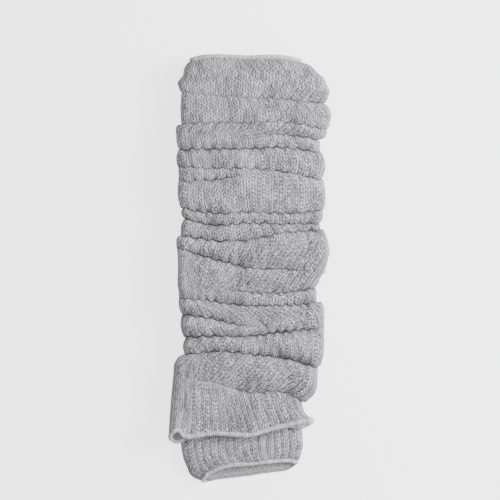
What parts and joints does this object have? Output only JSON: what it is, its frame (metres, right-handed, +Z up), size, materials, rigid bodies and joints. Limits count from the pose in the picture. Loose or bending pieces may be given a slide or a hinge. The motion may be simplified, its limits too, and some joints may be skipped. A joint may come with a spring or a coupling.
{
  "type": "pair of leg warmers",
  "caption": "Pair of footless rib-knit tubes for the lower leg, scrunched into soft rolls with a rolled edging at each mouth, laid flat one on the other.",
  "frame": {"origin": "centre of the bounding box, on the surface that the pair lies on", "axes": "+X across the pair, +Y along it from the cuffs to the upper mouths, +Z up"},
  "size_m": [0.1364, 0.3656, 0.0317],
  "materials": {
    "rib_knit": "matte heather knit",
    "edging": "matte knit"
  },
  "bodies": {
    "root": {"lower_leg_warmer": "rib_knit", "lower_hem_edge": "edging", "lower_top_edge": "edging", "upper_leg_warmer": "rib_knit", "upper_hem_edge": "edging", "upper_top_edge": "edging"}
  },
  "joints": []
}
